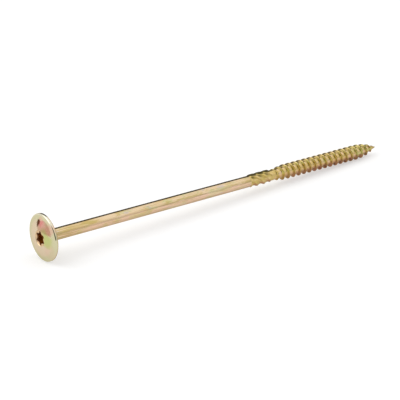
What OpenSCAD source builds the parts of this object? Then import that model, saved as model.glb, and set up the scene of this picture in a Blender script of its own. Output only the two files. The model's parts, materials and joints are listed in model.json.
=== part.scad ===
// Construction screw for timber: flat washer head with a six-lobe recess, plain shank,
// reamer ribs, and a coarse right-hand thread that runs out to a sharp point.
// It lies on the ground as it comes to rest: on the rim of its head and on its thread.

/* [Head] */
// Diameter over the rim
head_d = 22; // [16:0.5:30]
// Height of the crown above the bearing face
head_h = 2.9; // [2.6:0.1:4]
// Thickness of the head at its rim
rim_h = 1.45; // [1.2:0.05:1.6]
// Rounding of the rim's upper edge
rim_round = 0.65; // [0.3:0.05:0.9]
// Rounding of the edge of the bearing face
rim_under_round = 0.2; // [0.1:0.05:0.3]

/* [Neck and shank] */
// Length from the bearing face to the point
length = 200; // [160:5:280]
// Diameter of the plain shank
shank_d = 5.6; // [5.2:0.1:6.2]
// Diameter of the conical neck where it meets the head
neck_d = 8.6; // [8:0.1:10]
// Length of the conical neck
neck_len = 3; // [2:0.5:6]

/* [Six-lobe recess] */
// Size over the points of the lobes
recess_over_points = 6.75; // [6:0.05:7]
// Size over the waists between the lobes
recess_over_waists = 4.8; // [4.2:0.05:5]
// Radius of each lobe's tip
recess_tip_r = 0.56; // [0.5:0.02:0.6]
// Depth of the straight walls below the crown
recess_depth = 2.8; // [2:0.1:3]
// Depth of the cone in the floor
recess_floor_cone = 0.5; // [0.2:0.1:0.8]
// Width of the chamfer round the mouth
recess_lead_in = 0.25; // [0.1:0.05:0.4]
// Flat ring between the chamfer and the lobes' tips
recess_land = 0.05; // [0.03:0.01:0.1]
// Turn of the recess about the axis
recess_turn = -3; // [-30:1:30]

/* [Reamer] */
// Length of the ribbed stretch above the thread
reamer_len = 14; // [8:1:20]
// Number of ribs
rib_count = 5; // [3:1:6]
// Diameter over the ribs
rib_d = 6.6; // [6.3:0.1:7]
// Advance of a rib in one turn
rib_lead = 21.6; // [14:0.4:26]
// Length over which the ribs rise and fall away
rib_fade = 1.2; // [0.8:0.2:3]
// Turn of the ribs about the axis
rib_turn = -30; // [-36:1:36]

/* [Thread] */
// Length of the thread with the point
thread_len = 70.5; // [50:0.5:90]
// Diameter over the crests
thread_d = 7.6; // [7.2:0.1:8]
// Diameter of the core between the threads
core_d = 5.2; // [4.8:0.1:5.4]
// Advance of the thread in one turn
pitch = 3.5; // [3:0.1:4.5]
// Width of the crest
crest_w = 0.3; // [0.15:0.05:0.5]
// Slope of each flank, from the plane across the axis
flank_angle = 20; // [15:1:25]
// Width of the fillet at each side of the root
root_fillet = 0.3; // [0.2:0.05:0.4]
// Length over which the thread rises from the core
run_in = 7.5; // [3:0.5:12]
// Length of the tapered end
taper_len = 15.5; // [12:0.5:22]
// Fullness of the tapered end, from a cone at 1 to a blunt nose
taper_fullness = 2.2; // [1.6:0.1:3]
// Length over which the thread falls away ahead of the point
run_out = 1.4; // [1:0.2:3.4]

/* [Hidden] */
$fn = 96;
// Facets round the ribs and the thread
facets = 30;
// How far the threaded end reaches up inside the shank, and how far it stays within it
joint_len = 1;
joint_inset = 0.2;
// Groove that is left where the ribs begin
joint_gap = 0.1;
// Bare cone ahead of the last turn, and its last ring
bare_point = 1.4;
last_ring = 0.6;
// Share of the thread's height that its root fillet takes
fillet_share = 0.12;
// Half a rib's foot, as a share of the spacing of the ribs
rib_foot = 0.37;
// Corners of the thread's section in one turn
corners = 6;
// Straight pieces in each rounding of the rim, in the crown, and in the recess's arcs
edge_steps = 6;
crown_steps = 12;
tip_steps = 6;
waist_steps = 8;
// Part of its quarter turn that the rim's upper rounding takes before the crown begins
edge_sweep = 75;
// Cuts start this far outside the metal
over = 1;

head_r = head_d / 2;
shank_r = shank_d / 2;
core_r = core_d / 2;
thread_r = thread_d / 2;
crest_h = thread_r - core_r;
reamer_r = shank_r - joint_inset;
rib_h = rib_d / 2 - reamer_r;
thread_start = length - thread_len;
reamer_start = thread_start - reamer_len;

// The crown is a cap of a sphere that starts where the rim's upper edge ends
crown_edge_r = head_r - rim_round;
crown_rise = head_h - rim_h;
crown_r = (pow(crown_edge_r, 2) + pow(crown_rise, 2)) / (2 * crown_rise);
land_r = recess_over_points / 2 + recess_land;
mouth_r = land_r + recess_lead_in;

function arc(centre, r, from, to, steps) = [
    for (n = [0 : steps])
        let (a = from + (to - from) * n / steps)
        [centre[0] + r * cos(a), centre[1] + r * sin(a)]
];

function crown_height(r) = head_h - crown_r + sqrt(crown_r * crown_r - r * r);

// Half section of the neck and the head: radius, then height above the bearing face
head_section = concat(
    [[0, -neck_len], [shank_r, -neck_len], [neck_d / 2, 0]],
    arc([head_r - rim_under_round, rim_under_round], rim_under_round, -90, 0, edge_steps),
    arc([crown_edge_r, rim_h - rim_round], rim_round, 0, edge_sweep, edge_steps),
    [for (n = [0 : crown_steps]) let (r = crown_edge_r * (1 - n / crown_steps)) [r, crown_height(r)]]
);

// The lobes' tips and the waists between them are arcs that touch each other
tip_centre = recess_over_points / 2 - recess_tip_r;
waist_in = recess_over_waists / 2;
waist_r = (pow(tip_centre, 2) + pow(waist_in, 2) - 2 * tip_centre * waist_in * cos(30)
    - pow(recess_tip_r, 2)) / (2 * (recess_tip_r + tip_centre * cos(30) - waist_in));
waist_centre = waist_in + waist_r;
touch = atan2(waist_centre * sin(30), waist_centre * cos(30) - tip_centre);

tip_arc = arc([tip_centre, 0], recess_tip_r, -touch, touch, tip_steps);
waist_arc = arc([waist_centre, 0], waist_r, 150 + touch, 210 - touch, waist_steps);

function turned(p, a) = [p[0] * cos(a) - p[1] * sin(a), p[0] * sin(a) + p[1] * cos(a)];
function lobe(a) = concat(
    [for (p = tip_arc) turned(p, a)],
    [for (n = [1 : waist_steps - 1]) turned(waist_arc[n], a + 30)]
);

recess_outline = [for (n = [0 : 5]) each lobe(60 * n)];

// The thread's crest climbs by the pitch in each turn, from its first step to its last
first_foot = crest_w / 2 + root_fillet;
thread_steps = floor((thread_len - bare_point) / pitch * facets);
function crest_at(step) = thread_start + pitch * step / facets;
function taper(z) = 1 - pow(1 - min(1, (length - z) / taper_len), taper_fullness);
function crest_rise(step) = min(
    1,
    pitch * step / facets / run_in,
    pitch * (thread_steps - step) / facets / run_out
);
function height_at(step) = crest_h * taper(crest_at(step)) * crest_rise(step);

// The corners of the thread's section: how far along the axis from the crest, and how far out
function half_shifts(foot) = [
    crest_w / 2 + foot + root_fillet,
    crest_w / 2 + foot * (1 - fillet_share) + root_fillet / 2,
    crest_w / 2
];
function corner_shift(h, c) = let (half = half_shifts(h * tan(flank_angle)))
    c < corners / 2 ? -half[c] : half[corners - 1 - c];
function corner_out(h, c) = h * [0, fillet_share, 1, 1, fillet_share, 0][c];

function at(step, r, z) = [r * cos(360 * step / facets), r * sin(360 * step / facets), z];

thread_points = [
    for (step = [0 : thread_steps])
        for (c = [0 : corners - 1])
            let (h = height_at(step), z = crest_at(step) + corner_shift(h, c))
            at(step, core_r * taper(z) + corner_out(h, c), z)
];

// The ribs follow their own steeper helix, one facet in each ring
ring_gap = rib_lead / facets;
ribs_from = reamer_start + joint_gap;
ribs_to = thread_start - first_foot - ring_gap / 2;
rings = floor((ribs_to - ribs_from) / ring_gap);
function rib_fade_at(z) = max(0, min(1, (z - ribs_from) / rib_fade, (ribs_to - z) / rib_fade));
function from_rib(n, ring) = let (turn = ((n - ring) / facets - rib_turn / 360) * rib_count)
    abs(turn - round(turn));
function rib_at(n, ring, z) = rib_h * rib_fade_at(z) * max(0, 1 - from_rib(n, ring) / rib_foot);

ring_points = concat(
    [for (n = [0 : facets - 1]) at(n, reamer_r, reamer_start - joint_len)],
    [for (ring = [0 : rings], n = [0 : facets - 1])
        let (z = ribs_from + ring * ring_gap)
        at(n, reamer_r + rib_at(n, ring, z), z)],
    [for (n = [0 : facets - 1]) at(n, core_r, ribs_to)]
);
end_ring = rings + 2;

point_points = concat(
    [for (n = [0 : facets - 1]) at(n, core_r * taper(length - last_ring), length - last_ring)],
    [[0, 0, length]]
);

// Numbers of the points in the list, by ring and by step
function on_ring(ring, n) = ring * facets + n % facets;
function on_thread(step, c) = (end_ring + 1) * facets + step * corners + c;
function on_point(n) = on_thread(thread_steps + 1, 0) + n % facets;
apex = on_thread(thread_steps + 1, 0) + facets;

function quad(a, b, c, d) = [[a, b, c], [a, c, d]];
function fan(from, others) = [for (n = [0 : len(others) - 2]) [from, others[n], others[n + 1]]];

last_turn = thread_steps - facets;
threaded_faces = concat(
    [[for (n = [0 : facets - 1]) n]],
    [for (ring = [0 : end_ring - 1], n = [0 : facets - 1])
        each quad(on_ring(ring, n), on_ring(ring + 1, n),
            on_ring(ring + 1, n + 1), on_ring(ring, n + 1))],
    [for (n = [0 : facets - 2])
        each quad(on_ring(end_ring, n), on_thread(n, 0),
            on_thread(n + 1, 0), on_ring(end_ring, n + 1))],
    fan(on_ring(end_ring, facets - 1), concat(
        [on_thread(facets - 1, 0), on_thread(facets, 0)],
        [for (c = [corners - 1 : -1 : 0]) on_thread(0, c)],
        [on_ring(end_ring, 0)]
    )),
    [for (step = [0 : thread_steps - 1], c = [0 : corners - 2])
        each quad(on_thread(step, c), on_thread(step, c + 1),
            on_thread(step + 1, c + 1), on_thread(step + 1, c))],
    [for (step = [0 : last_turn - 1])
        each quad(on_thread(step, corners - 1), on_thread(step + facets, 0),
            on_thread(step + facets + 1, 0), on_thread(step + 1, corners - 1))],
    fan(on_thread(last_turn + 1, corners - 1), concat(
        [on_thread(last_turn, corners - 1)],
        [for (c = [0 : corners - 1]) on_thread(thread_steps, c)],
        [on_point(last_turn), on_point(last_turn + 1)]
    )),
    [for (step = [last_turn + 1 : thread_steps - 1])
        each quad(on_thread(step, corners - 1), on_point(step),
            on_point(step + 1), on_thread(step + 1, corners - 1))],
    [for (n = [0 : facets - 1]) [on_point(n), apex, on_point(n + 1)]]
);

// Lying on the ground, the axis falls towards the point until the crests touch
function clearance_slope(step) = let (z = crest_at(step), h = height_at(step))
    (head_r - (core_r * taper(z) + h) * cos(360 * step / facets)) / (z + rim_under_round);
rest_tilt = atan(min([for (step = [facets : thread_steps]) clearance_slope(step)]));
axis_height = rim_under_round + (head_r - rim_under_round) * cos(rest_tilt)
    - rim_under_round * sin(rest_tilt);
crown_end = crown_height(mouth_r) * cos(rest_tilt) + mouth_r * sin(rest_tilt);
middle = (length * cos(rest_tilt) - crown_end) / 2;

module head() {
    difference() {
        rotate([180, 0, 0])
            rotate_extrude() polygon(head_section);
        recess();
    }
}

module recess() {
    translate([0, 0, -head_h])
        rotate([0, 0, recess_turn]) {
            translate([0, 0, -over])
                linear_extrude(recess_depth + over) polygon(recess_outline);
            translate([0, 0, recess_depth])
                cylinder(r1 = waist_in, r2 = waist_in / 3, h = recess_floor_cone);
        }
    mouth_chamfer();
}

module mouth_chamfer() {
    mouth_z = -crown_height(mouth_r);
    translate([0, 0, mouth_z])
        cylinder(r1 = mouth_r, r2 = land_r, h = recess_lead_in);
    translate([0, 0, mouth_z - over])
        cylinder(r = mouth_r, h = over);
}

module shank() {
    translate([0, 0, neck_len])
        cylinder(r = shank_r, h = reamer_start - neck_len);
}

module threaded_end() {
    polyhedron(points = concat(ring_points, thread_points, point_points), faces = threaded_faces);
}

module screw() {
    color([0.84, 0.73, 0.45])
        translate([-middle, 0, axis_height])
            rotate([0, 90 + rest_tilt, 0]) {
                head();
                shank();
                threaded_end();
            }
}

screw();
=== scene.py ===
"""Timber construction screw, yellow passivated, lying on a pale floor."""
import json
import math

import bpy
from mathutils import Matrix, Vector


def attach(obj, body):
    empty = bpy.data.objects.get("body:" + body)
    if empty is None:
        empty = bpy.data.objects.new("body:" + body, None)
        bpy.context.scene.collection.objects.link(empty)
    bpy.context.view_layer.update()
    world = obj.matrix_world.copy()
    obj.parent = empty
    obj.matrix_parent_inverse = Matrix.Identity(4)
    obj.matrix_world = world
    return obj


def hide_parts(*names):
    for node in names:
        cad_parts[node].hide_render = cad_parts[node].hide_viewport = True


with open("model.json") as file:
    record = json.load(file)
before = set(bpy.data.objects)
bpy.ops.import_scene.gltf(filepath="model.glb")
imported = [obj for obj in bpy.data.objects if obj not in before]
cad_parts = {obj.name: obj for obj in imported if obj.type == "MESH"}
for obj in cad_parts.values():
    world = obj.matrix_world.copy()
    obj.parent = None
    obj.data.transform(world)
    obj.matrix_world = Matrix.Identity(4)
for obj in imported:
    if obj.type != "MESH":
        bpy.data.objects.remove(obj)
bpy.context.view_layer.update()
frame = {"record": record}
scene = bpy.context.scene
scene.view_settings.view_transform = "Standard"
mm = 0.001

# Where the screw lies
# The screw rests on the rim of its head and on its thread, so its axis falls a little
# towards the point. Every place on it is given along the axis from the bearing face of
# the head, and outwards from the axis, with angles from straight down.
mounts = {m["name"]: m for m in frame["record"]["mounts"]}
axis = Vector(mounts["under_head"]["axis"]).normalized()
bearing = Vector(mounts["under_head"]["pos_m"])
bearing_centre = Vector((bearing.x, 0, bearing.z))
downwards = Vector((axis.z, 0, -axis.x))
sideways = Vector((0, 1, 0))


def place(along, out, angle):
    spoke = downwards * math.cos(angle) + sideways * math.sin(angle)
    return bearing_centre + axis * (along * mm) + spoke * (out * mm)


# Camera
# The photograph looks down on the head from its left, and along the screw. The place of
# the head's bearing face in the picture fixes the camera: right, down and away from it.
view_azimuth = math.radians(-37.6)
view_elevation = math.radians(24.6)
head_right, head_down, head_away = -68.19 * mm, 16.28 * mm, 673.0 * mm
sensor_width = 36.0
lens_length = 137.7

away = Vector((
    -math.sin(view_azimuth) * math.cos(view_elevation),
    math.cos(view_azimuth) * math.cos(view_elevation),
    -math.sin(view_elevation),
))
right = Vector((math.cos(view_azimuth), math.sin(view_azimuth), 0))
up = right.cross(away)
camera_data = bpy.data.cameras.new("camera")
camera_data.sensor_width = sensor_width
camera_data.lens = lens_length
camera_data.clip_start = 0.01
camera = bpy.data.objects.new("camera", camera_data)
camera.location = bearing_centre - right * head_right + up * head_down - away * head_away
camera.rotation_mode = "QUATERNION"
camera.rotation_quaternion = away.to_track_quat("-Z", "Y")
scene.collection.objects.link(camera)
scene.camera = camera

# Light
# A pale room with a large soft lamp on the left. What the metal shows of it is white, but
# for a dark doorway behind the screw, a dark corner at the left and the photographer.


class Wire:
    """A shader socket that can be written in sums."""

    def __init__(self, tree, socket):
        self.tree = tree
        self.socket = socket

    def node(self, kind, settings=None, inputs=None, output=0):
        made = self.tree.nodes.new(kind)
        for name, value in (settings or {}).items():
            if name == "stops":
                ramp = made.color_ramp
                while len(ramp.elements) < len(value):
                    ramp.elements.new(0.5)
                for element, (position, colour) in zip(ramp.elements, value):
                    element.position = position
                    element.color = (*colour, 1)
            else:
                setattr(made, name, value)
        for name, value in (inputs or {}).items():
            if isinstance(value, Wire):
                self.tree.links.new(value.socket, made.inputs[name])
            else:
                made.inputs[name].default_value = value
        return Wire(self.tree, made.outputs[output])

    def calc(self, operation, *values):
        return self.node("ShaderNodeMath", {"operation": operation}, dict(enumerate(values)))

    def __add__(self, other):
        return self.calc("ADD", self, other)

    __radd__ = __add__

    def __sub__(self, other):
        return self.calc("SUBTRACT", self, other)

    def __rsub__(self, other):
        return self.calc("SUBTRACT", other, self)

    def __mul__(self, other):
        return self.calc("MULTIPLY", self, other)

    __rmul__ = __mul__

    def __pow__(self, other):
        return self.calc("POWER", self, other)

    def between(self, low, high):
        return self.node(
            "ShaderNodeMapRange", {"interpolation_type": "SMOOTHSTEP"},
            {"Value": self, "From Min": low, "From Max": high},
        )

    def clip(self):
        return self.node("ShaderNodeClamp", inputs={"Value": self})

    def blend(self, first, second):
        """A colour that goes from first to second as this value goes from 0 to 1."""
        return self.node(
            "ShaderNodeMix", {"data_type": "RGBA"}, {0: self, 6: first, 7: second}, output=2
        )

    def into(self, shader, name):
        self.tree.links.new(self.socket, shader.inputs[name])


def colour(red, green, blue):
    return (red, green, blue, 1.0)


world = bpy.data.worlds.new("room")
world.use_nodes = True
scene.world = world
room = world.node_tree
background = room.nodes["Background"]
looking = Wire(room, room.nodes.new("ShaderNodeTexCoord").outputs["Generated"])
doorway = (0.555, 0.77, 0.311)
photographer = (-0.555, -0.72, 0.416)
dark_corner = (-0.68, 0.72, 0.12)


def towards(line):
    return looking.node("ShaderNodeVectorMath", {"operation": "DOT_PRODUCT"},
                        {0: looking, 1: line}, output="Value")


height = towards((0, 0, 1))
near_side = towards((0.3, -0.95, 0)).between(0.2, 0.8) * (1 - height.between(0.15, 0.5))
overhead = height.between(0.3, 0.9)
brightness = (
    0.96 + 0.14 * overhead
    - 0.86 * towards(doorway).between(0.89, 0.93)
    - 0.84 * towards(photographer).between(0.74, 0.86)
    - 0.20 * towards(dark_corner).between(0.975, 0.99)
    - 0.20 * near_side
)
lit = brightness.node(
    "ShaderNodeCombineColor", inputs={0: brightness, 1: brightness, 2: brightness})
seen = Wire(room, room.nodes.new("ShaderNodeLightPath").outputs["Is Camera Ray"])
seen.blend(lit, colour(1, 1, 1)).into(background, "Color")
background.inputs["Strength"].default_value = 1.0

lamp_data = bpy.data.lights.new("soft_lamp", "AREA")
lamp_data.shape = "DISK"
lamp_data.size = 0.8
lamp_data.energy = 1.8
lamp = bpy.data.objects.new("soft_lamp", lamp_data)
lamp.location = (-0.62, 0.40, 0.66)
lamp.rotation_mode = "QUATERNION"
lamp.rotation_quaternion = (-lamp.location).to_track_quat("-Z", "Y")
scene.collection.objects.link(lamp)

# Floor
# Plain white board. It shows white to the eye and in the metal, and keeps the shadow.
floor_half = 3.0
floor_white = 0.6
floor_glow = 0.48
mirrored_glow = 0.40
floor_mesh = bpy.data.meshes.new("floor")
floor_mesh.from_pydata(
    [(x * floor_half, y * floor_half, 0) for x, y in ((-1, -1), (1, -1), (1, 1), (-1, 1))],
    [], [(0, 1, 2, 3)],
)
floor = bpy.data.objects.new("floor", floor_mesh)
scene.collection.objects.link(floor)
board = bpy.data.materials.new("white_board")
board.use_nodes = True
board_tree = board.node_tree
board_tree.nodes.clear()
path = board_tree.nodes.new("ShaderNodeLightPath")
camera_ray = Wire(board_tree, path.outputs["Is Camera Ray"])
glossy_ray = Wire(board_tree, path.outputs["Is Glossy Ray"])
clear_ray = Wire(board_tree, path.outputs["Is Transmission Ray"])
looked_at = floor_glow * (camera_ray + clear_ray) + mirrored_glow * glossy_ray
matt = looked_at.node("ShaderNodeBsdfDiffuse", inputs={"Color": colour(*[floor_white] * 3)})
glow = looked_at.node("ShaderNodeEmission", inputs={"Color": looked_at})
paint = looked_at.node("ShaderNodeAddShader", inputs={0: matt, 1: glow})
board_end = board_tree.nodes.new("ShaderNodeOutputMaterial")
paint.into(board_end, "Surface")
floor_mesh.materials.append(board)

# Card beside the head
# A half-round rose card glows left of the picture, with a dark clip at one end of it. Both are hidden
# from the camera, from shadows and from diffuse light, so they are seen only as a reflection in the
# crown of the head.
card_away = 38 * mm
card_turn = math.radians(140)
card_middle = 0.7 * mm
card_low = 3.0 * mm
card_radius = 13.2 * mm


def card_place(across, above, nearer=0.0):
    off = card_away - nearer
    return (
        bearing_centre.x + off * math.cos(card_turn) - (card_middle + across) * math.sin(card_turn),
        off * math.sin(card_turn) + (card_middle + across) * math.cos(card_turn),
        card_low + above,
    )


def hang(name, outline, plain_colour, blush_colour, nearer=0.0):
    """A flat glowing shape in the card's plane, or a little nearer to the head."""
    mesh = bpy.data.meshes.new(name)
    mesh.from_pydata([card_place(*corner, nearer) for corner in outline], [], [range(len(outline))])
    thing = bpy.data.objects.new(name, mesh)
    scene.collection.objects.link(thing)
    thing.visible_camera = False
    thing.visible_shadow = False
    thing.visible_diffuse = False
    paper = bpy.data.materials.new(name)
    paper.use_nodes = True
    tree = paper.node_tree
    tree.nodes.clear()
    spot = Wire(tree, tree.nodes.new("ShaderNodeTexCoord").outputs["Object"])
    off = spot.node("ShaderNodeVectorMath", {"operation": "DISTANCE"},
                    {0: spot, 1: card_place(-0.5 * card_radius, 0.85 * card_radius)}, output="Value")
    away_from_blush = off.between(0.1 * card_radius, 0.95 * card_radius)
    glow = spot.node("ShaderNodeEmission",
                     inputs={"Color": away_from_blush.blend(blush_colour, plain_colour)})
    glow.into(tree.nodes.new("ShaderNodeOutputMaterial"), "Surface")
    mesh.materials.append(paper)


card_steps = 24
half_round = [
    (-card_radius * math.cos(math.pi * n / card_steps), card_radius * math.sin(math.pi * n / card_steps))
    for n in range(card_steps + 1)
]
hang("rose_card", half_round, colour(0.72, 0.58, 0.52), colour(0.98, 0.58, 0.68))
clip_from = -card_radius - 1.2 * mm
clip_outline = [(0.6, 1.6), (2.0, 3.3), (5.4, 7.5), (5.9, 9.5), (4.4, 11.4), (1.0, 10.0), (-0.4, 6.0)]
hang("clip", [(clip_from + across * mm, above * mm) for across, above in clip_outline],
     colour(0.13, 0.045, 0.015), colour(0.13, 0.045, 0.015), nearer=0.5 * mm)

# Washer head and six-lobe recess
# The head is upset from the wire in a die: a low crown over a flat bearing face, with a
# rolled rim. The recess is punched in the same blow, with a chamfered mouth and a cone
# in its floor. A short conical neck runs from the bearing face into the shank.
around = 144
head_height = 2.9
head_radius = 11.0
rim_height = 1.45
rim_round = 0.65
under_round = 0.2
lobe_points = 6.75
lobe_waists = 4.8
lobe_tip_round = 0.56
lobe_turn = math.radians(-3)
recess_depth = 2.8
floor_cone = 0.5
land_radius = lobe_points / 2 + 0.05
lead_in = 0.25
neck_radius = 4.3
neck_length = 3.0
shank_radius = 2.8

crown_edge = head_radius - rim_round
crown_rise = head_height - rim_height
crown_radius = (crown_edge ** 2 + crown_rise ** 2) / (2 * crown_rise)
mouth_radius = land_radius + lead_in

tip_centre = lobe_points / 2 - lobe_tip_round
waist = lobe_waists / 2
sixth = math.radians(30)
waist_round = (tip_centre ** 2 + waist ** 2 - 2 * tip_centre * waist * math.cos(sixth)
               - lobe_tip_round ** 2) / (2 * (lobe_tip_round + tip_centre * math.cos(sixth) - waist))
waist_centre = waist + waist_round
touch = math.atan2(waist_centre * math.sin(sixth), waist_centre * math.cos(sixth) - tip_centre)
touch_angle = math.atan2(
    lobe_tip_round * math.sin(touch), tip_centre + lobe_tip_round * math.cos(touch)
)


def crown(out):
    return -(head_height - crown_radius + math.sqrt(crown_radius ** 2 - out ** 2))


def lobe_wall(angle):
    """How far out the recess's wall is at an angle round the axis."""
    turn = (angle - lobe_turn + sixth) % (2 * sixth) - sixth
    turn = abs(turn)
    if turn < touch_angle:
        return tip_centre * math.cos(turn) + math.sqrt(
            lobe_tip_round ** 2 - (tip_centre * math.sin(turn)) ** 2)
    rest = sixth - turn
    return waist_centre * math.cos(rest) - math.sqrt(
        waist_round ** 2 - (waist_centre * math.sin(rest)) ** 2)


screw_points = []
screw_faces = []


def ring(along, out):
    """A ring of points round the axis; out is a radius, or a rule that gives it by angle."""
    first = len(screw_points)
    for n in range(around):
        angle = 2 * math.pi * n / around
        reach = out(angle) if callable(out) else out
        screw_points.append(place(along, reach, angle))
    return [first + n for n in range(around)]


def skin(inner, outer):
    """Faces between two rings."""
    for n in range(len(inner)):
        m = (n + 1) % len(inner)
        screw_faces.append((inner[n], outer[n], outer[m], inner[m]))


recess_floor = -head_height + recess_depth
land = crown(mouth_radius) + lead_in
head_rings = [
    (recess_floor + floor_cone, waist / 3),
    (recess_floor + 0.04, waist * 0.9),
    (recess_floor, lambda a: lobe_wall(a) - 0.12),
    (recess_floor - 0.05, lambda a: lobe_wall(a) - 0.03),
    (recess_floor - 0.15, lobe_wall),
    (recess_floor - 1.0, lobe_wall),
    (recess_floor - 1.8, lobe_wall),
    (land + 0.1, lobe_wall),
    (land + 0.02, lambda a: lobe_wall(a) + 0.02),
    (land, lambda a: min(lobe_wall(a) + 0.07, land_radius - 0.02)),
    (land - 0.01, land_radius),
]
chamfer_steps = 4
for n in range(1, chamfer_steps):
    share = n / chamfer_steps
    head_rings.append((land + (crown(mouth_radius) - land) * share, land_radius + lead_in * share))
crown_steps = 18
for n in range(crown_steps + 1):
    reach = mouth_radius + (crown_edge - mouth_radius) * n / crown_steps
    head_rings.append((crown(reach), reach))
edge_steps = 8
for n in range(1, edge_steps + 1):
    turn = math.radians(74 * (1 - n / edge_steps))
    head_rings.append((-(rim_height - rim_round + rim_round * math.sin(turn)),
                       crown_edge + rim_round * math.cos(turn)))
head_rings.append((-(rim_height - rim_round + under_round) / 2, head_radius))
for n in range(edge_steps + 1):
    turn = math.radians(-90 * n / edge_steps)
    head_rings.append((-(under_round + under_round * math.sin(turn)),
                       head_radius - under_round + under_round * math.cos(turn)))
for reach in (9.6, 8.2, 6.8, 5.6, 4.8, 4.5):
    head_rings.append((0, reach))
for along in (0.08, 0.35, 1.0, 1.8, 2.5):
    head_rings.append((along, neck_radius - (neck_radius - shank_radius) * along / neck_length))
head_rings += [(neck_length, shank_radius + 0.04), (neck_length + 0.5, shank_radius)]

centre = len(screw_points)
screw_points.append(place(recess_floor + floor_cone, 0, 0))
last = ring(*head_rings[0])
for n in range(around):
    screw_faces.append((centre, last[n], last[(n + 1) % around]))
for along, out in head_rings[1:]:
    following = ring(along, out)
    skin(last, following)
    last = following

# Shank and reamer ribs
# The shank is the drawn wire itself. Ahead of the thread, five ribs are rolled into it on
# a steep right-hand helix; they open the hole for the shank and for the neck.
thread_start = 129.5
ribs_start = 115.5
rib_count = 5
rib_lead = 21.6
rib_turn = math.radians(-30)
rib_fade = 1.2
rib_foot = 0.37
rib_radius = 3.3
rib_root = 2.6
core_radius = 2.6
crest_width = 0.3
root_fillet = 0.3
coarse_step = 30

shank_rings = 28
for n in range(1, shank_rings + 1):
    along = neck_length + 0.5 + (ribs_start - 0.15 - neck_length - 0.5) * n / shank_rings
    following = ring(along, shank_radius)
    skin(last, following)
    last = following

ribs_from = ribs_start + 0.1
ribs_to = thread_start - crest_width / 2 - root_fillet - rib_lead / coarse_step / 2


def rib(along):
    """The ribs' outline round the axis at a place along it."""
    fade = max(0, min(1, (along - ribs_from) / rib_fade, (ribs_to - along) / rib_fade))
    fade = fade * fade * (3 - 2 * fade)

    def out(angle):
        turn = (angle - rib_turn) / (2 * math.pi) - (along - ribs_from) / rib_lead
        off = abs(turn * rib_count - round(turn * rib_count))
        rise = max(0.0, 1 - off / rib_foot)
        rise = rise - 0.5 * max(0.0, rise - 0.88)
        return rib_root + (rib_radius - rib_root) * fade * rise ** 1.15
    return out


for along, out in ((ribs_start - 0.05, shank_radius - 0.03), (ribs_start + 0.02, rib_root + 0.06)):
    following = ring(along, out)
    skin(last, following)
    last = following
rib_step = rib_lead / around * 2
for n in range(int((ribs_to - ribs_from) / rib_step) + 1):
    along = ribs_from + n * rib_step
    following = ring(along, rib(along))
    skin(last, following)
    last = following
following = ring(ribs_to, core_radius)
skin(last, following)
last = following

# Thread and point
# One right-hand ridge is rolled out of the wire, with a narrow crest, steep flanks and a
# small fillet at each side of its root. It rises over two turns and runs out at the point.
screw_length = 200.0
thread_pitch = 3.5
thread_radius = 3.8
flank_slope = math.tan(math.radians(20))
thread_rise = 7.5
thread_run_out = 1.4
bare_point = 1.4
taper_length = 15.5
taper_fullness = 2.2
last_ring = 0.6
# Half of the ridge's section: shares of the crest, the flank and the fillet that make up
# the distance from the middle of the crest, then the share of the height
half_section = (
    (0.50, 1.00, 1.00, 0.00),
    (0.50, 1.00, 0.55, 0.03),
    (0.50, 0.88, 0.30, 0.13),
    (0.50, 0.45, 0.10, 0.54),
    (0.48, 0.05, 0.00, 0.94),
    (0.28, 0.00, 0.00, 1.00),
)
corners = 2 * len(half_section)
steps = int((screw_length - thread_start - bare_point) / thread_pitch * around)


def taper(along):
    return 1 - (1 - min(1, (screw_length - along) / taper_length)) ** taper_fullness


thread_first = len(screw_points)
for step in range(steps + 1):
    crest_at = thread_start + thread_pitch * step / around
    rise = min(1, (crest_at - thread_start) / thread_rise,
               (steps - step) / around * thread_pitch / thread_run_out)
    tall = (thread_radius - core_radius) * taper(crest_at) * rise
    angle = 2 * math.pi * (step % around) / around
    for corner in range(corners):
        side = -1 if corner < corners // 2 else 1
        crest, flank, fillet, share = half_section[min(corner, corners - 1 - corner)]
        off_middle = crest * crest_width + flank * tall * flank_slope + fillet * root_fillet
        along = crest_at + side * off_middle
        screw_points.append(place(along, core_radius * taper(along) + tall * share, angle))


def thread(step, corner):
    return thread_first + step * corners + corner


for n in range(around - 1):
    screw_faces.append((last[n], thread(n, 0), thread(n + 1, 0), last[n + 1]))
screw_faces.append((last[-1], thread(around - 1, 0), thread(around, 0),
                    *[thread(0, c) for c in range(corners - 1, -1, -1)], last[0]))
for step in range(steps):
    for corner in range(corners - 1):
        screw_faces.append((thread(step, corner), thread(step, corner + 1),
                            thread(step + 1, corner + 1), thread(step + 1, corner)))
for step in range(steps - around):
    screw_faces.append((thread(step, corners - 1), thread(step + around, 0),
                        thread(step + around + 1, 0), thread(step + 1, corners - 1)))
nose = ring(screw_length - last_ring, core_radius * taper(screw_length - last_ring))
last_turn = steps - around
outer = corners - 1
screw_faces.append((thread(last_turn, outer), *[thread(steps, c) for c in range(corners)],
                    nose[last_turn % around], nose[(last_turn + 1) % around],
                    thread(last_turn + 1, outer)))
for step in range(last_turn + 1, steps):
    screw_faces.append((thread(step, outer), nose[step % around],
                        nose[(step + 1) % around], thread(step + 1, outer)))
point = len(screw_points)
screw_points.append(place(screw_length, 0, 0))
for n in range(around):
    screw_faces.append((nose[n], point, nose[(n + 1) % around]))

screw_mesh = bpy.data.meshes.new("screw_surface")
screw_mesh.from_pydata(screw_points, [], screw_faces)
screw_mesh.validate()
screw_mesh.shade_smooth()
screw_mesh.set_sharp_from_angle(angle=math.radians(38))
screw = bpy.data.objects.new("screw_surface", screw_mesh)
scene.collection.objects.link(screw)
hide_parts("screw")
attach(screw, "root")

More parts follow.
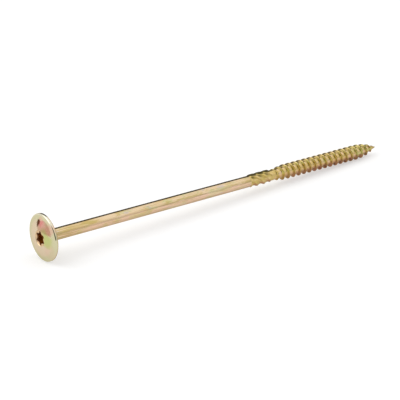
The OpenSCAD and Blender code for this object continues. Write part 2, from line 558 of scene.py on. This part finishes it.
# Finish
# Zinc plate under a yellow chromate film. The film is thin and uneven, so the gold runs
# into straw, green and rose from place to place, and it is browner where it pools.
zinc = bpy.data.materials.new("yellow_zinc")
zinc.use_nodes = True
tree = zinc.node_tree
metal = tree.nodes["Principled BSDF"]
metal.inputs["Specular Tint"].default_value = colour(0.86, 0.80, 0.70)
here = Wire(tree, tree.nodes.new("ShaderNodeTexCoord").outputs["Object"])


def along_line(line, start):
    """How far a point is from start, along a line, in millimetres."""
    from_start = here.node("ShaderNodeVectorMath", {"operation": "SUBTRACT"}, {0: here, 1: start})
    return 1000 * here.node("ShaderNodeVectorMath", {"operation": "DOT_PRODUCT"},
                            {0: from_start, 1: line}, output="Value")


along_axis = along_line(axis, bearing_centre)
below_axis = along_line(downwards, bearing_centre)
beside_axis = along_line(sideways, bearing_centre)
out_from_axis = (below_axis * below_axis + beside_axis * beside_axis) ** 0.5
upward = (0.5 * beside_axis - 0.866 * below_axis) * out_from_axis ** -1
round_axis = here.calc("ARCTAN2", beside_axis, below_axis)
turns = (along_axis - thread_start) * (1 / thread_pitch) - round_axis * (0.5 / math.pi)
off_crest = turns.calc("PINGPONG", turns, 0.5)
rib_turns = (round_axis - rib_turn) * (rib_count * 0.5 / math.pi) - (
    along_axis - ribs_from) * (rib_count / rib_lead)


def mottle(lengthways, scale, detail=3.0, roughness=0.5, offset=0.0):
    """Noise in the screw's own directions, drawn out along it if lengthways is small."""
    where = here.node("ShaderNodeCombineXYZ", inputs={
        0: along_axis * lengthways + offset, 1: below_axis, 2: beside_axis})
    return here.node("ShaderNodeTexNoise", inputs={
        "Vector": where, "Scale": scale, "Detail": detail, "Roughness": roughness})


def bloom(below, beside, reach):
    """Where the film has a spot on the head: its middle from the axis, and its reach."""
    off = (((below_axis - below) ** 2) + ((beside_axis - beside) ** 2)) ** 0.5
    edge = off + 2.2 * (fine_clouds - 0.5)
    return (1 - edge.between(reach * 0.45, reach)) * on_head


clouds = mottle(0.35, 0.16, offset=7.0)
fine_clouds = mottle(0.5, 0.55, offset=17.0)
patches = mottle(0.35, 0.45, offset=31.0)
specks = mottle(0.22, 0.42, offset=53.0)
violet_spots = mottle(0.4, 0.4, offset=97.0)
streaks = mottle(0.03, 2.6, detail=4.0, offset=3.0)
on_head = 1 - along_axis.between(0.2, 0.6)
on_thread = along_axis.between(ribs_start - 0.2, ribs_start + 0.2)
past_ribs = along_axis.between(thread_start - 1, thread_start + 3)
past_reamer = along_axis.between(thread_start, thread_start + 20)
on_shank = (1 - on_head) * (1 - on_thread)
on_reamer = on_thread * (1 - past_ribs)

# Film on the shank
# Gold and straw in long clouds, rose below, olive in the drawing lines and near the neck.
gold = colour(0.70, 0.51, 0.27)
straw = colour(0.79, 0.61, 0.40)
green = colour(0.58, 0.57, 0.29)
lilac = colour(0.60, 0.52, 0.50)
rose = colour(0.82, 0.55, 0.41)
shadow_gold = colour(0.44, 0.32, 0.17)
umber = colour(0.25, 0.13, 0.05)
yellow_olive = colour(0.50, 0.38, 0.10)
olive = colour(0.34, 0.24, 0.03)
low_side = (-1 * upward).between(-0.05, 0.35)
# Painted shade along the lower outline of the shank, for the shadowed floor it mirrors there.
painted_edge_shade = (-1 * upward).between(0.6, 1.0)
near_neck = 1 - along_axis.between(6, 34)
shank_film = clouds.between(0.38, 0.62).blend(gold, straw)
shank_film = (patches.between(0.54, 0.64) * (0.65 - 0.45 * low_side)).blend(shank_film, green)
shank_film = (violet_spots.between(0.60, 0.68) * 0.6).blend(shank_film, lilac)
shank_film = (low_side * (1 - patches.between(0.46, 0.58)) * 0.8).blend(shank_film, rose)
shank_film = (painted_edge_shade * 0.6).blend(shank_film, shadow_gold)
# Painted reflection: the top of the shank turns umber, for the dark doorway it mirrors.
shank_film = (upward.between(0.8, 1.0) * 0.75).blend(shank_film, umber)
shank_film = (specks.between(0.57, 0.66) * (0.6 - 0.4 * low_side)).blend(shank_film, yellow_olive)
neck_streaks = near_neck * (0.12 + 0.4 * streaks.between(0.42, 0.58))
shank_film = neck_streaks.blend(shank_film, yellow_olive)
shank_film = (streaks.between(0.45, 0.7) * 0.45).blend(shank_film, olive)

# Film on the thread
# Painted shade darkens the root beside each crest and on its upper side, and the upper flanks near their
# foot; the crests on the upper side carry a painted dark reflection, and the underside a painted maroon
# shade. The flanks are browner below.
root_straw = colour(0.76, 0.57, 0.31)
root_gold = colour(0.67, 0.48, 0.19)
root_rose = colour(0.68, 0.44, 0.22)
root_shade_gold = colour(0.46, 0.33, 0.09)
flank_gold = colour(0.58, 0.42, 0.10)
flank_brown = colour(0.37, 0.20, 0.055)
flank_olive = colour(0.47, 0.36, 0.12)
flank_shade_olive = colour(0.26, 0.19, 0.07)
crest_olive = colour(0.34, 0.26, 0.12)
spring_green = colour(0.62, 0.58, 0.14)
leaf = colour(0.54, 0.58, 0.22)
crest_dark_reflection = colour(0.06, 0.05, 0.03)
maroon = colour(0.44, 0.20, 0.12)
dark_maroon = colour(0.20, 0.07, 0.05)

# The taper is taken out of the distance from the axis, so that one rule serves every turn
nearness = ((screw_length - along_axis) * (1 / taper_length)).clip()
slimming = 1 - (1 - nearness) ** taper_fullness
full_out = out_from_axis * (slimming + 0.001) ** -1
lift = upward * full_out
above_root = full_out.between(core_radius, core_radius + 0.14)
on_flank = above_root * (1 - full_out.between(thread_radius - 0.3, thread_radius - 0.05))
top_side = upward.between(0.25, 0.65)
low_half = (-1 * upward).between(0.1, 0.6)

root_film = top_side.blend(low_half.blend(root_gold, root_rose), root_straw)
# Painted shade in the root beside each crest.
root_film = ((1 - off_crest.between(0.24, 0.42)) * 0.7).blend(root_film, root_shade_gold)
root_film = (patches.between(0.55, 0.68) * 0.4).blend(root_film, green)
root_film = ((1 - fine_clouds.between(0.36, 0.46)) * 0.5).blend(root_film, rose)
# Painted shade on the root's upper side.
root_top = lift.between(1.9, 2.2) * (1 - full_out.between(core_radius + 0.2, core_radius + 0.4))
root_film = (root_top * 0.85).blend(root_film, root_shade_gold)

low_flank = (low_half * (0.5 + 0.5 * past_reamer)).blend(flank_gold, flank_brown)
flank_film = top_side.blend(low_flank, flank_olive)
flank_film = (patches.between(0.50, 0.60) * (1 - low_half) * 0.55).blend(flank_film, spring_green)
# Painted shade on the upper flanks near their foot.
painted_flank_shade = upward.between(0.45, 0.7) * (1 - 0.55 * full_out.between(3.2, 3.5))
flank_film = (painted_flank_shade * 0.85).blend(flank_film, flank_shade_olive)
# Painted reflection: the crests on the upper side turn olive, then near black, for a dark reflection
# there.
flank_film = (lift.between(2.5, 3.1) * 0.9).blend(flank_film, crest_olive)
flank_film = (lift.between(2.85, 3.2) * 0.9).blend(flank_film, crest_dark_reflection)

thread_film = (on_flank * past_ribs).blend(root_film, flank_film)
near_tip = along_axis.between(screw_length - 28, screw_length - 14)
greener = near_tip * fine_clouds.between(0.42, 0.56)
thread_film = (greener * (0.55 - 0.4 * top_side)).blend(thread_film, leaf)
# Painted shade: the underside of the thread past the reamer turns maroon in patches, for the shadowed
# floor it mirrors.
underside_shade_depth = 0.45 + 0.5 * fine_clouds.between(0.4, 0.6)
underside_shade = (-1 * upward).between(0.45, 0.85) * past_reamer * underside_shade_depth
thread_film = underside_shade.blend(thread_film, patches.between(0.45, 0.58).blend(maroon, dark_maroon))
thread_film = ((1 - nearness.between(0.12, 0.30)) * 0.6).blend(thread_film, flank_brown)

# Film on the reamer ribs
# Yellower than the shank, and maroon along the lower crests.
rib_straw = colour(0.72, 0.54, 0.24)
rib_gold = colour(0.60, 0.46, 0.15)
on_rib = out_from_axis.between(rib_root + 0.1, rib_root + 0.35)
rib_film = fine_clouds.between(0.35, 0.6).blend(rib_straw, rib_gold)
rib_film = (out_from_axis.between(2.65, 3.1) * 0.15).blend(rib_film, olive)
rib_film = ((-1 * upward).between(0.3, 0.8) * on_rib * 0.8).blend(rib_film, maroon)
thread_film = (1 - past_ribs).blend(thread_film, rib_film)

# Film on the head
# Cream on the crown with spots of green and rose, a painted highlight that makes the upper rim paler,
# and painted shade in a brown line round the rim's edge next to the bearing face. The film is brown
# where it pools in the recess, whose upper walls stay tan.
cream = colour(0.75, 0.62, 0.45)
rim_cream = colour(0.65, 0.61, 0.39)
rim_highlight_white = colour(0.80, 0.75, 0.62)
blush = colour(0.74, 0.42, 0.33)
tan = colour(0.74, 0.48, 0.24)
brown = colour(0.30, 0.09, 0.005)
head_film = (out_from_axis + 2.5 * fine_clouds).between(8.5, 10.5).blend(cream, rim_cream)
for below, beside, reach, strength, tint in (
    (-0.5, -5.4, 4.4, 0.95, leaf),
    (-3.0, -3.2, 3.4, 0.7, leaf),
    (-7.5, 0.5, 2.6, 0.7, blush),
    (-6.0, -6.4, 3.6, 0.6, blush),
    (4.5, -7.0, 5.0, 0.2, blush),
):
    head_film = (bloom(below, beside, reach) * strength).blend(head_film, tint)
inside_lobes = 1 - out_from_axis.between(land_radius - 0.15, land_radius + 0.05)
in_recess = inside_lobes * (along_axis.between(land + 0.02, land + 0.5) * on_head)
depth = along_axis.between(land + 0.05, land + 0.7)
left_wall = beside_axis.between(0.8, 2.0) * (1 - along_axis.between(land + 0.5, land + 1.3))
chamfer_tan = (1 - out_from_axis.between(mouth_radius - 0.02, mouth_radius + 0.06)) * 0.6
head_film = chamfer_tan.blend(head_film, tan)
head_film = in_recess.blend(head_film, (depth * (1 - 0.7 * left_wall)).blend(tan, brown))
# Painted highlight: the upper rim is paler, to whiten the lamp's highlight on it.
on_rim = out_from_axis.between(head_radius - 0.8, head_radius - 0.4) * on_head
head_film = (on_rim * upward.between(0.1, 0.5) * 0.7).blend(head_film, rim_highlight_white)
# Painted shade: a brown line round the rim's edge next to the bearing face, for the floor's shadow it
# mirrors.
at_edge = out_from_axis.between(head_radius - 0.4, head_radius - 0.2)
lower_edge_shade = at_edge * along_axis.between(-0.5, -0.2) * on_head
head_film = (lower_edge_shade * (0.3 + 0.5 * fine_clouds)).blend(head_film, brown)

# Gloss and grain
# Bright and smooth on the crown, with fine drawing lines on the shank and the rolled
# grain of the thread. The film in the recess is nearly matt.
film = on_thread.blend(shank_film, thread_film)
film = on_head.blend(film, head_film)
film.into(metal, "Base Color")
in_mouth = on_head * (1 - out_from_axis.between(mouth_radius, mouth_radius + 0.1))
roughness = 0.08 + 0.05 * streaks + 0.04 * (1 - on_head) + 0.08 * on_thread
(roughness + 0.22 * in_mouth + 0.08 * on_reamer).into(metal, "Roughness")
(1 - in_recess * (0.05 + 0.45 * left_wall)).into(metal, "Metallic")
drawn_lines = mottle(0.02, 7.0, offset=71.0)
grain = mottle(1.0, 4.0, offset=83.0)
relief = drawn_lines * on_shank + 0.6 * grain * on_thread
bump = relief.node(
    "ShaderNodeBump", inputs={"Strength": 0.25, "Distance": 0.02 * mm, "Height": relief})
bump.into(metal, "Normal")

# Painted reflection, and the recess
# Matt dark paint on the upper edges of the ribs and of the shank is a painted reflection of the dark
# there, and the chromate that dried in the recess is a matt brown.
dark_matt = here.node("ShaderNodeBsdfDiffuse", inputs={"Color": colour(0.03, 0.03, 0.012)})
uneven = (0.6 + 0.8 * fine_clouds.between(0.35, 0.65)).clip()
# Painted reflection: matt dark paint along the top of the shank.
dark_reflection_paint = 0.55 * upward.between(0.80, 0.92) * on_shank * uneven
# Painted reflection: a dark matt lens on the upper side of each reamer rib.
off_rib_lens = rib_turns.calc("PINGPONG", rib_turns + 0.7, 0.5)
lens_end = 1 - off_rib_lens.between(0.26, 0.38)
rib_reflection_lens = (upward - 0.6 * off_rib_lens).between(0.56, 0.70) * lens_end
dark_reflection_paint = dark_reflection_paint + 0.9 * rib_reflection_lens * on_reamer
whole = here.node("ShaderNodeMixShader", inputs={
    0: dark_reflection_paint, 1: Wire(tree, metal.outputs["BSDF"]), 2: dark_matt})
pooled = here.node("ShaderNodeBsdfDiffuse", inputs={"Color": colour(0.34, 0.11, 0.008)})
whole = here.node("ShaderNodeMixShader", inputs={
    0: 0.70 * in_recess * depth * (1 - left_wall), 1: whole, 2: pooled})
whole.into(tree.nodes["Material Output"], "Surface")
screw_mesh.materials.append(zinc)
